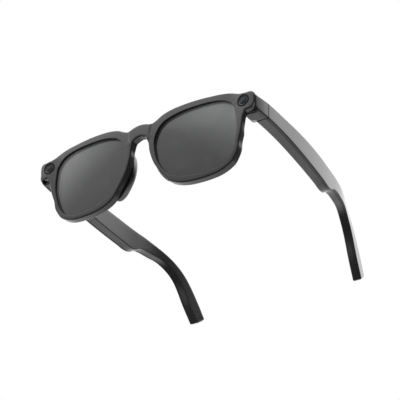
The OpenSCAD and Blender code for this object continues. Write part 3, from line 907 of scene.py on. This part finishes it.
@dataclass(frozen=True)
class FrontFrame:
    """Rims, bridge and side faces, moulded in one."""

    plane: FacePlane
    thickness: float = 5.0
    face_t: float = 3.9         # thickness of the face in front of an endpiece
    cover_x: float = 63.4       # where that thin face begins
    edge: float = 1.0           # radius of the outer edge
    lip: float = 0.2            # radius of the edge round a lens
    rear_lip: float = 0.4       # the same, at the back
    lens_depth: float = 1.8
    lens_t: float = 2.0
    groove: float = 0.8
    skin_t: float = 1.6         # thickness of the side face

    def depth(self, x: float, depth: float) -> float:
        """Depth at a place, squeezed where the plate is only a thin face."""
        back = self.thickness - (self.thickness - self.face_t) * step((abs(x) - self.cover_x) / 1.2)
        if depth <= self.lens_depth:
            return depth
        return self.lens_depth + (depth - self.lens_depth) * (back - self.lens_depth) / (
            self.thickness - self.lens_depth)

    def crease_x(self, v: float) -> float:
        """How far from the middle the bridge's crease runs at a height."""
        return 6.0 + 0.2 * (v - 11)

    def place(self, x: float, v: float, depth: float) -> Vector:
        """Where a point of the plate lies; the bridge stands a little proud between two creases."""
        bridge = 0.35 * step((self.crease_x(v) + 0.6 - abs(x)) / 0.6) * (1 - depth / self.thickness)
        return self.plane.at(x, v, self.depth(x, depth) - bridge)

    def plate(self) -> Shape:
        """The rims and the bridge."""
        half = [(0.0, 20.8), *FRONT_EDGE, (0.0, 13.0)]
        clockwise = half + [(-x, v) for x, v in reversed(FRONT_EDGE)]
        outline = curve(clockwise[::-1], 0.8, closed=True)
        left = curve(LENS_EDGE, 0.8, closed=True)
        right = [Vector((-p.x, p.y)) for p in reversed(left)]
        back = self.lens_depth + self.lens_t
        rear = [(i, self.thickness - d) for i, d in reversed(fillet(self.rear_lip, parts=3))]
        lip = [*fillet(self.lip, parts=4), (0, self.lens_depth), (self.groove, self.lens_depth),
               (self.groove, back), (0, back), *rear]
        creases = tuple((s * (self.crease_x(v / 2) + k), v / 2) for s in (-1, 1) for k in (0.0, 0.3, 0.6)
                        for v in range(26, 39))
        through = [(0, 0), (0, self.thickness)]
        openings = [(left, lip), (right, lip)] + [(EyeSet(self.plane, eye).outline(), through) for eye in Eye]
        shape = Plate(outline, closed_edge(self.edge, self.thickness, 0.6), openings, self.place,
                      grid=2.0, extra=creases)
        return shape.shape()

    def skin(self, shape: Shape, side: Side) -> None:
        """Adds a side face, from the front face's edge back to the parting line.

        Args:
            shape: the plate, which it joins.
            side: which side.
        """
        outer = reader([(0.5, 72.9), (0.9, 73.2), (1.5, 73.4), (2.4, 73.55), (4.0, 73.8), (8.0, 74.35),
                        (13.2, 74.85)])
        end = PARTING_Y - 0.15
        rings = []
        parts = 16
        for k in range(parts + 1):
            share = (k / parts) ** 1.6
            low = 34.2 - 1.2 * step(share * 3)
            high = 42.3 + 0.85 * share
            low_edge = 1.9 - 0.9 * step(share * 3)
            section = rounded_box(low, high, 0, self.skin_t, (1.2, 0.12, 0.12, low_edge))
            ring = []
            for z, inwards in section:
                start = self.plane.face_y(72.7, z) + 0.5
                y = start + (end - start) * share
                ring.append(put(outer(y - start + 0.5) - inwards, y, z, side))
            rings.append(ring)
        shape.loft(rings)

    def build(self) -> None:
        """Makes the front frame."""
        shape = self.plate()
        for side in Side:
            self.skin(shape, side)
        piece = shape.build("front_moulding", FINISHES["frame_plastic"])
        even_light(piece)
        carry(piece, "front", "frame_plastic", "front_frame")


@dataclass(frozen=True)
class BrowStrip:
    """The thin cover over the flexible circuit, let into the back of the brow."""

    front: FrontFrame
    width: float = 1.5
    proud: float = 0.06
    path: tuple[Pair, ...] = ((0.0, 16.2), (10.0, 16.4), (16.0, 18.6), (23.6, 21.5), (35.6, 21.9),
                              (47.6, 21.4), (57.5, 19.2), (62.6, 16.6))

    def build(self) -> None:
        """Makes the strip."""
        half = curve(self.path, 1.0)
        line = [Vector((-p.x, p.y)) for p in reversed(half[1:])] + half
        edges = []
        for sign in (-1, 1):
            row = []
            for i, point in enumerate(line):
                along = line[min(i + 1, len(line) - 1)] - line[max(i - 1, 0)]
                row.append(point + Vector((-along.y, along.x)).normalized() * sign * self.width / 2)
            edges.append(row)
        outline = edges[0] + edges[1][::-1]
        top = self.front.thickness + self.proud
        rim = [(0.0, top - 0.7), (0.0, top - 0.15), (0.15, top)]
        shape = Plate(outline, rim, [], self.front.plane.at).shape()
        carry(shape.build("brow_strip", FINISHES["frame_plastic"]), "front", "frame_plastic", "brow_cover")


@dataclass(frozen=True)
class Lens:
    """One tinted lens, held in the groove of its rim."""

    front: FrontFrame
    side: Side

    def build(self) -> None:
        """Makes the lens."""
        outline = moved(curve(LENS_EDGE, 0.9, closed=True), self.front.groove - SEAM)
        start = self.front.lens_depth + SEAM
        thick = self.front.lens_t - 2 * SEAM
        rim = [(inset, start + depth) for inset, depth in closed_edge(0.15, thick, 0.15)]

        def place(x: float, v: float, depth: float) -> Vector:
            """The lens's place, mirrored on the wearer's right."""
            return self.front.plane.at(x * self.side.value, v, depth)

        shape = Plate(outline, rim, [], place, grid=1.6).shape()
        piece = shape.build(f"tinted_lens_{self.side.label}", FINISHES["tinted_lens"])
        carry(piece, "front", "tinted_lens", f"lens_{self.side.label}")


@dataclass(frozen=True)
class NosePad:
    """A polished pad on the back of the rim, beside the nose."""

    plane: FacePlane
    side: Side
    start: float = 5.0
    proud: float = 4.8
    inner: tuple[Pair, ...] = ((6.7, 6.2), (6.7, 2.0), (7.2, -3.0), (8.6, -8.0), (11.6, -13.4),
                               (15.6, -18.2), (18.6, -20.6))
    outer: tuple[Pair, ...] = ((8.6, 6.2), (9.6, 2.0), (10.6, -3.0), (12.8, -8.0), (15.6, -12.6),
                               (18.4, -16.8), (20.4, -19.0))

    def build(self) -> None:
        """Makes the pad as a dome between its two long edges."""
        inner = curve(self.inner, 0.8)
        count = len(inner)
        outer = [curve(self.outer, 0.05)[round(i / (count - 1) * (len(curve(self.outer, 0.05)) - 1))]
                 for i in range(count)]
        rings = []
        turns = 14
        for i, (a, b) in enumerate(zip(inner, outer)):
            share = abs(2 * i / (count - 1) - 1)
            length = max(0.0, 1 - share**5) ** 0.5
            narrow = 0.25 + 0.75 * max(0.0, 1 - share**8) ** 0.5
            middle = (a + b) / 2
            ring = []
            for k in range(turns + 1):
                turn = math.pi * k / turns
                out = math.copysign(abs(math.cos(turn)) ** 0.55, math.cos(turn)) * narrow
                rise = math.sin(turn) ** 0.55 * length if 0 < k < turns else 0.0
                point = middle + (a - b) / 2 * out
                place = self.plane.at(point.x, point.y, self.start + 0.05 + self.proud * rise)
                ring.append(Vector((place.x * self.side.value, place.y, place.z)))
            rings.append(ring)
        shape = Shape()
        shape.loft(rings)
        piece = shape.build(f"polished_pad_{self.side.label}", FINISHES["pad_plastic"], sharp=60)
        carry(piece, "front", "pad_plastic", f"nose_pad_{self.side.label}")


class Eye(Enum):
    """What looks out of an endpiece, with its window's node, its finish and its side."""

    CAMERA = ("camera", "camera_glass", Side.LEFT)
    LIGHT = ("light", "light_glass", Side.RIGHT)


@dataclass(frozen=True)
class EyeSet:
    """The ring, the funnel and the window of the camera or the light."""

    plane: FacePlane
    eye: Eye
    x: float = 66.2
    v: float = 14.9
    ring_r: float = 3.85
    funnel_r: float = 3.05
    window_r: float = 2.35
    proud: float = 0.35

    def place(self, x: float, v: float, depth: float) -> Vector:
        """A place round the eye's own axis, at a depth under the face."""
        return self.plane.at((x + self.x) * self.eye.value[2].value, v + self.v, depth)

    def ring_of(self, radius: float) -> Ring:
        """A round outline about the eye's own axis."""
        return [Vector((math.cos(a), math.sin(a))) * radius for a in (math.tau * i / 64 for i in range(64))]

    def outline(self) -> Ring:
        """The eye's hole in the face, hidden under the ring."""
        return [Vector(((p.x + self.x) * self.eye.value[2].value, p.y + self.v))
                for p in self.ring_of(self.ring_r - 0.3)][::self.eye.value[2].value]

    def build(self) -> None:
        """Makes the ring, the funnel and the window."""
        word, finish, _ = self.eye.value
        top = -self.proud
        rim = [(i, d + top) for i, d in closed_edge(0.42, 1.6, 0.1)]
        lip = [(i, d + top) for i, d in fillet(0.2, parts=3)] + [(0.0, 1.25)]
        shape = Plate(self.ring_of(self.ring_r), rim, [(self.ring_of(self.funnel_r), lip)], self.place, 0.8)
        piece = shape.shape().build(f"{word}_ring", FINISHES["bezel_gloss"])
        carry(piece, "front", "bezel_gloss", f"{word}_bezel")

        painted_reflection = [(0.0, -0.02), (-0.3, 0.1), (0.02 - (self.funnel_r - self.window_r), 0.42),
                 (0.02 - (self.funnel_r - self.window_r), 1.1), (0.0, 1.1)]
        funnel = Shape()
        rings = []
        for angle in (math.tau * i / 64 for i in range(64)):
            corner = self.octagon(angle)
            row = []
            for k, (inset, depth) in enumerate(painted_reflection):
                inner = self.window_r * corner
                radius = self.funnel_r - SEAM + inset if k in (0, 1, 4) else inner
                row.append(self.place(radius * math.cos(angle), radius * math.sin(angle), depth))
            rings.append(row)
        numbers = [funnel.ring(r) for r in rings]
        for a, b in zip(numbers, numbers[1:] + numbers[:1]):
            funnel.bridge(a, b)
        piece = funnel.build(f"{word}_funnel", FINISHES["barrel_black"], sharp=50)
        carry(piece, "front", "bezel_gloss")

        outline = [Vector((math.cos(a), math.sin(a))) * (self.window_r * self.octagon(a) - 0.02)
                   for a in (math.tau * i / 64 for i in range(64))]
        rim = [(i, d + 0.34) for i, d in closed_edge(0.12, 0.7, 0.05)]

        def dome(x: float, v: float, depth: float) -> Vector:
            """The window's place, its middle raised a little."""
            rise = 0.25 * max(0.0, 1 - (x * x + v * v) / self.window_r**2) if depth < 0.6 else 0.0
            return self.place(x, v, depth - rise)

        piece = Plate(outline, rim, [], dome, 0.5).shape().build(f"{word}_pane", FINISHES[finish])
        carry(piece, "front", finish, f"{word}_window")

    def octagon(self, angle: float) -> float:
        """How far out a softened eight-sided outline reaches at an angle, as a share of its corners."""
        sector = math.tau / 8
        off = (angle + sector / 2) % sector - sector / 2
        return min(0.985, math.cos(sector / 2) / math.cos(sector / 2 - abs(off)))


@dataclass(frozen=True)
class EndpieceCover:
    """The lower housing behind the camera or the light, which holds the hinge."""

    plane: FacePlane
    side: Side
    low: float = 33.0
    high: float = 42.75
    edge: float = 0.9
    plan: tuple[Pair, ...] = ((72.4, 6.2), (72.85, 10.0), (73.15, 14.1), (72.9, 14.4), (69.8, 14.44),
                              (67.75, 14.4), (67.4, 13.9), (66.9, 13.2), (65.9, 12.85), (65.15, 12.75),
                              (64.7, 11.4), (64.5, 9.4), (64.8, 7.2), (65.5, 5.8), (66.6, 5.35),
                              (69.5, 5.7), (71.9, 6.0))

    def build(self) -> None:
        """Makes the cover."""
        outline = curve(self.plan, 0.45, closed=True)
        if sum(a.x * b.y - b.x * a.y for a, b in zip(outline, outline[1:] + outline[:1])) < 0:
            outline.reverse()
        height = self.high - self.low

        def place(x: float, y: float, up: float) -> Vector:
            """The cover's place: its front leans with the face."""
            z = self.low + up + 0.25 * (y - 6) / 8.4 * up / height
            near = step((12 - y) / 6)
            shift = (self.plane.face_y(69, z) - self.plane.face_y(69, 38)) * near
            return put(x, y + shift, z, self.side)

        shape = Plate(outline, closed_edge(self.edge, height, 0.7), [], place, 1.6).shape()
        piece = shape.build(f"hinge_housing_{self.side.label}", FINISHES["body_plastic"])
        even_light(piece)
        carry(piece, "front", "body_plastic", f"endpiece_cover_{self.side.label}")


# ---- the temples ------------------------------------------------------------------------------

TOP_LINE = ((3.2, 42.5), (14.6, 43.2), (29.0, 44.0), (59.0, 45.4), (73.4, 45.3), (89.2, 44.6),
            (103.6, 44.1), (119.9, 41.1), (135.2, 33.8), (151.3, 17.1), (157.4, 8.7))
LOW_LINE = ((3.2, 32.8), (14.6, 33.1), (29.7, 33.4), (59.0, 31.8), (80.0, 30.6), (90.0, 30.15),
            (92.9, 31.1), (96.8, 33.6), (101.0, 34.5), (109.3, 34.7), (117.5, 34.5), (129.4, 29.2),
            (143.7, 11.0), (150.1, 2.9))
SIDE_LINE = ((3.2, 74.2), (14.6, 74.8), (30.4, 75.0), (60.5, 74.7), (90.7, 72.8), (110.7, 70.3),
             (130.8, 65.4), (158.1, 60.6))


@dataclass
class Temple:
    """One temple: the outer shell and the inner body that it closes."""

    side: Side
    skin_t: float = 1.6
    hinge_t: float = 7.7
    tip_t: float = 5.7
    wall: float = 1.2
    turn_y: float = 108.0       # where the temple begins to bend down
    end: float = 1.2            # length of the rounded end

    def __post_init__(self) -> None:
        """Reads the outlines and lays out the stations along the temple."""
        self.outer = reader(SIDE_LINE)
        self.top = reader(TOP_LINE)
        self.low = reader(LOW_LINE)
        ys = [14.75, 14.95]
        while ys[-1] < self.turn_y - 1:
            ys.append(ys[-1] + (0.6 if 88 < ys[-1] < 102 else 1.6))
        ys.append(self.turn_y)
        straight = [(Vector((y, self.top(y))), Vector((y, self.low(y)))) for y in ys]
        bend_top = self.beyond(TOP_LINE)
        bend_low = self.beyond(LOW_LINE)
        self.stations = straight + list(zip(bend_top, bend_low))[1:]

    def beyond(self, line: Sequence[Pair]) -> Ring:
        """The part of an outline past the turn, in a fixed number of even steps.

        Args:
            line: the outline's points.

        Returns:
            The points, the first at the turn.
        """
        fine = [p for p in curve(line, 0.3) if p.x > self.turn_y]
        start = Vector((self.turn_y, reader(line)(self.turn_y)))
        run = [start, *fine]
        total = sum((b - a).length for a, b in zip(run, run[1:]))
        return evenly(run, total / 34, closed=False)

    def thick(self, y: float) -> float:
        """The temple's whole thickness at a place along it."""
        return self.hinge_t + (self.tip_t - self.hinge_t) * max(0.0, min(1.0, (y - 14.6) / 114.8))

    def ring(self, top: Vector, low: Vector, section: Sequence[Pair], deep: float,
             squeeze: float = 1.0) -> Ring:
        """Places a section across the temple.

        Args:
            top: the top of the section's plane, as Y and Z.
            low: the bottom of it.
            section: pairs of height and depth.
            deep: the middle depth, towards which a squeezed section shrinks.
            squeeze: the section's size in depth, 1 for all of it.

        Returns:
            The points.
        """
        up = (top - low).normalized()
        ring = []
        for height, depth in section:
            place = low + up * height
            inwards = deep + (depth - deep) * squeeze
            ring.append(put(self.outer(place.x) - inwards, place.x, place.y, self.side))
        return ring

    def bar(self, near: float, far: Callable[[float], float], radii: Sequence[float]) -> Shape:
        """Skins the temple between two depths, down to a rounded end.

        Args:
            near: depth of its outer side.
            far: depth of its inner side at a place along the temple.
            radii: of the section's corners.

        Returns:
            The closed shape.
        """
        rings = []
        for k, (top, low) in enumerate(self.stations):
            height = (top - low).length
            back = far((top.x + low.x) / 2)
            trim = 0.15 if k == 0 else 0.0
            section = rounded_box(trim, height - trim, near + trim * (near == 0), back - trim, radii)
            rings.append(self.ring(top, low, section, 0))
        top, low = self.stations[-1]
        middle = (top + low) / 2
        half = (top - low) / 2
        ahead = Vector((half.y, -half.x)).normalized()
        back = far(middle.x)
        whole = self.tip_t / 2
        for k in range(1, 9):
            angle = math.pi / 2 * k / 8.6
            shrink = math.cos(angle) ** 0.72
            centre = middle + ahead * self.end * math.sin(angle) ** 1.1
            rounded = [r * max(0.2, shrink) for r in radii]
            section = rounded_box(0, half.length * 2 * shrink, near, back, rounded)
            rings.append(self.ring(centre + half * shrink, centre - half * shrink, section, whole,
                                   0.25 + 0.75 * shrink))
        shape = Shape()
        shape.loft(rings)
        return shape

    def block(self, y0: float, y1: float, near: float, far: float, low: float, high: float,
              edge: float = 0.05) -> Shape:
        """A straight-topped block between two depths under the outer face, for cutting."""
        rings = []
        count = max(1, round((y1 - y0) / 4))
        for k in range(count + 1):
            y = y0 + (y1 - y0) * k / count
            section = rounded_box(low, high, near, far, [edge] * 4)
            rings.append([put(self.outer(y) - depth, y, z, self.side) for z, depth in section])
        shape = Shape()
        shape.loft(rings)
        return shape

    def bay(self, y0: float = 27.1, y1: float = 88.1) -> Shape:
        """The room for the electronics, open towards the shell."""
        rings = []
        count = 16
        for k in range(count + 1):
            y = y0 + (y1 - y0) * k / count
            section = rounded_box(self.low(y) + self.wall, self.top(y) - self.wall, self.skin_t - 1,
                                  self.thick(y) - self.wall, (0.1, 0.5, 0.5, 0.1))
            rings.append([put(self.outer(y) - depth, y, z, self.side) for z, depth in section])
        shape = Shape()
        shape.loft(rings)
        return shape

    def leaf_slot(self) -> Shape:
        """The slot for the hinge leaf, and the step for its knuckles."""
        pin_low, pin_high = (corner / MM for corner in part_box("hinge_pin_left"))
        pin_x = (pin_low.x + pin_high.x) / 2
        shape = Shape()
        low, high = pin_low.z - 0.1, pin_high.z + 0.1
        plan = ((pin_x - 1, 13.5), (pin_x + 4.05, 13.5), (pin_x + 4.05, 26.0), (pin_x + 2.95, 26.0),
                (pin_x + 2.95, 16.2), (pin_x - 1, 16.2))
        shape.loft([[put(x, y, z, self.side) for x, y in plan] for z in (low, high)])
        return shape

    def slots(self) -> list[Shape]:
        """The sound slots and the microphone's hole in the underside."""
        found = []
        for k in range(4):
            y = 76.7 + 1.9 * k
            floor = self.low(y)
            found.append(self.block(y + 0.25, y + 0.55, 2.8, 4.0, floor - 1, floor + 2, edge=0.14))
        found.append(self.block(30.5, 30.9, 3.8, 4.2, self.low(30.7) - 1, self.low(30.7) + 2, edge=0.19))
        return found

    def build(self) -> None:
        """Makes the shell and the body."""
        label = self.side.label
        body = f"temple_{label}"
        shell = self.bar(0.0, lambda y: self.skin_t, (1.4, 0.3, 0.3, 1.25))
        piece = shell.build(f"outer_shell_{label}", FINISHES["shell_plastic"])
        even_light(piece)
        carry(piece, body, "shell_plastic", f"temple_shell_{label}")
        inner = self.bar(self.skin_t + SEAM, self.thick, (0.3, 1.2, 0.6, 0.3))
        piece = inner.build(f"inner_body_{label}", FINISHES["body_plastic"])
        carve(piece, [self.bay(), self.leaf_slot(), *self.slots(), *self.own_cuts()])
        even_light(piece)
        carry(piece, body, "body_plastic", f"temple_body_{label}")

    def own_cuts(self) -> list[Shape]:
        """What only this side's body has cut out of it."""
        return []


@dataclass
class RightTemple(Temple):
    """The wearer's right temple, with the charging land and the capture button."""

    button_y: float = 37.7
    button_l: float = 9.0
    button_w: float = 2.6
    button_h: float = 1.1
    land_y: float = 34.7

    def stadium(self, grow: float) -> Ring:
        """The button's outline in plan, round its own middle."""
        reach = (self.button_l - self.button_w) / 2
        radius = self.button_w / 2 + grow
        outline = []
        for turn in (0, 1):
            for k in range(13):
                angle = math.pi * (turn + k / 12)
                outline.append(Vector((radius * math.cos(angle), (reach if turn == 0 else -reach)
                                       + radius * math.sin(angle))))
        return outline

    def button_place(self, x: float, y: float, up: float) -> Vector:
        """A place round the button's middle, up from the temple's top; its top is dished along."""
        middle = self.outer(self.button_y) - self.skin_t - 2.2
        return put(middle + x, self.button_y + y, self.top(self.button_y) + up, self.side)

    def own_cuts(self) -> list[Shape]:
        """The button's well and the charging land."""
        low, high = (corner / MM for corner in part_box("charge_contacts"))
        middle = (low.z + high.z) / 2
        land = self.block(self.land_y - 9.4, self.land_y + 9.4, self.thick(self.land_y) - 0.4,
                          self.thick(self.land_y) + 3, middle - 2.2, middle + 2.2, edge=0.1)
        well = Plate(self.stadium(0.12), [(0, -2.0), (0, 3.0)], [], self.button_place).shape()
        return [land, well]

    def button(self) -> None:
        """Makes the capture button."""
        rim = [(i, self.button_h - d) for i, d in fillet(0.45)] + [(0.0, self.button_h - 2.1)]

        def place(x: float, y: float, up: float) -> Vector:
            """The button's place, with a shallow dish along its top."""
            dish = 0.12 * step(1 - abs(y) / 3.6) if up > self.button_h - 0.05 else 0.0
            return self.button_place(x, y, up - dish)

        piece = Plate(self.stadium(0), rim, [], place, 0.7).shape().build(
            "button_cap", FINISHES["button_plastic"])
        carry(piece, "capture_button", "button_plastic", "capture_button")

    def build(self) -> None:
        """Makes the temple and its button."""
        super().build()
        self.button()


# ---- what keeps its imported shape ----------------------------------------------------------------


@dataclass(frozen=True)
class KeptNodes:
    """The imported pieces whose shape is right: they get their finish here."""

    def dress(self) -> None:
        """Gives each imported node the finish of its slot."""
        for row in frame["record"]["subparts"]:
            node = frame["nodes"][row["node"]]
            node.data.materials.clear()
            node.data.materials.append(FINISHES[row["material_slot"]].material())
            if not node.hide_render:
                log.info("%s keeps its packed shape, in %s", node.name, row["material_slot"])


# ---- light, floor and camera ----------------------------------------------------------------------


@dataclass(frozen=True)
class Studio:
    """A plain pale floor that reflections don't see, the room that they do see, a lamp and the camera."""

    floor_z: float = -0.6
    dark_from: float = 0.6    # how far to the wearer's left the room turns dark
    ceiling: float = 2.6      # brightness of the ceiling
    wall: float = 1.0         # brightness of the walls
    back: float = 1.3         # brightness behind the glasses
    shade: float = 0.08       # brightness of the rest
    focal: float = 119        # the camera's focal length, for a sensor this wide
    sensor: float = 36
    stand: tuple[float, float, float] = (0.3634, -0.5690, -0.3918)    # where the camera is, in metres

    def floor(self) -> None:
        """Lays the floor, a disc with a soft plaster finish."""
        shape = Shape()
        rings = []
        for radius in (200.0, 2000.0, 6000.0):
            angles = (math.tau * i / 96 for i in range(96))
            points = [Vector((radius * math.cos(a), radius * math.sin(a), 0)) for a in angles]
            rings.append(shape.ring(points))
        for a, b in zip(rings, rings[1:]):
            shape.bridge(a, b)
        shape.faces.append(tuple(rings[0]))
        finish = Moulded("studio_floor", (0.82, 0.82, 0.82), 0.7, grain=0.01)
        piece = shape.build("studio_floor", finish)
        piece.location.z = self.floor_z
        piece.visible_glossy = False

    def room(self) -> None:
        """Fills the world: plain white for the eye and for soft light, and the room for reflections."""
        world = bpy.data.worlds.new("soft_room")
        world.use_nodes = True
        bpy.context.scene.world = world
        graph = Graph(world.node_tree)
        generated = Wire(graph, graph.node("ShaderNodeTexCoord").outputs["Generated"])
        towards = graph.vectors("NORMALIZE", generated)
        split = graph.node("ShaderNodeSeparateXYZ", None, {0: towards})
        leftwards, rearwards, upwards = (Wire(graph, out) for out in split.outputs)
        walls = self.wall * upwards.above(-0.5, 0.2)
        overhead = walls + (self.ceiling - self.wall) * upwards.above(0.4, 0.5)
        behind = self.back * rearwards.above(0.3, 0.4)
        lit = 1 - leftwards.above(self.dark_from, 0.14)
        light = self.shade + graph.maths("MAXIMUM", overhead, behind) * lit
        mirrored = graph.node("ShaderNodeBackground", None, {"Color": (1, 1, 1), "Strength": light})
        plain = graph.node("ShaderNodeBackground", None, {"Color": (1, 1, 1), "Strength": 1.0})
        rays = graph.node("ShaderNodeLightPath").outputs
        seen, soft = (Wire(graph, rays[name]) for name in ("Is Camera Ray", "Is Diffuse Ray"))
        direct = graph.maths("MAXIMUM", seen, soft)
        both = graph.node("ShaderNodeMixShader", None,
                          {0: direct, 1: Wire(graph, mirrored.outputs[0]), 2: Wire(graph, plain.outputs[0])})
        graph.node("ShaderNodeOutputWorld", None, {"Surface": Wire(graph, both.outputs[0])})

    def lamp(self, name: str, place: Vector, power: float, size: float) -> None:
        """Hangs a soft square light that faces the glasses."""
        data = bpy.data.lights.new(name, "AREA")
        data.energy = power
        data.size = size
        made = bpy.data.objects.new(name, data)
        made.location = place
        made.rotation_euler = (-place).to_track_quat("-Z", "Y").to_euler()
        bpy.context.scene.collection.objects.link(made)

    def camera(self) -> None:
        """Sets up the camera, low in front on the wearer's left."""
        data = bpy.data.cameras.new("camera")
        data.lens = self.focal
        data.sensor_width = self.sensor
        data.clip_start = 0.01
        made = bpy.data.objects.new("camera", data)
        right = Vector((0.84498, 0.53415, 0.02612))
        up = Vector((0.26886, -0.46652, 0.84265))
        back = right.cross(up)
        turn = Matrix((right, up, back)).transposed().to_4x4()
        made.matrix_world = Matrix.Translation(Vector(self.stand)) @ turn
        bpy.context.scene.collection.objects.link(made)
        bpy.context.scene.camera = made

    def build(self) -> None:
        """Makes the whole studio."""
        bpy.context.scene.view_settings.view_transform = "Standard"
        self.floor()
        self.room()
        self.lamp("key", Vector((-0.4, -0.5, 0.8)), 1.2, 0.8)
        self.camera()


def main() -> None:
    """Builds the glasses and the studio, in order."""
    logging.basicConfig(level=logging.INFO, format="%(name)s: %(message)s")
    Studio().build()
    KeptNodes().dress()
    plane = FacePlane()
    front = FrontFrame(plane)
    front.build()
    BrowStrip(front).build()
    for side in Side:
        Lens(front, side).build()
        NosePad(plane, side).build()
        EndpieceCover(plane, side).build()
    for eye in Eye:
        EyeSet(plane, eye).build()
    Temple(Side.LEFT).build()
    RightTemple(Side.RIGHT).build()


if __name__ == "__main__":
    main()
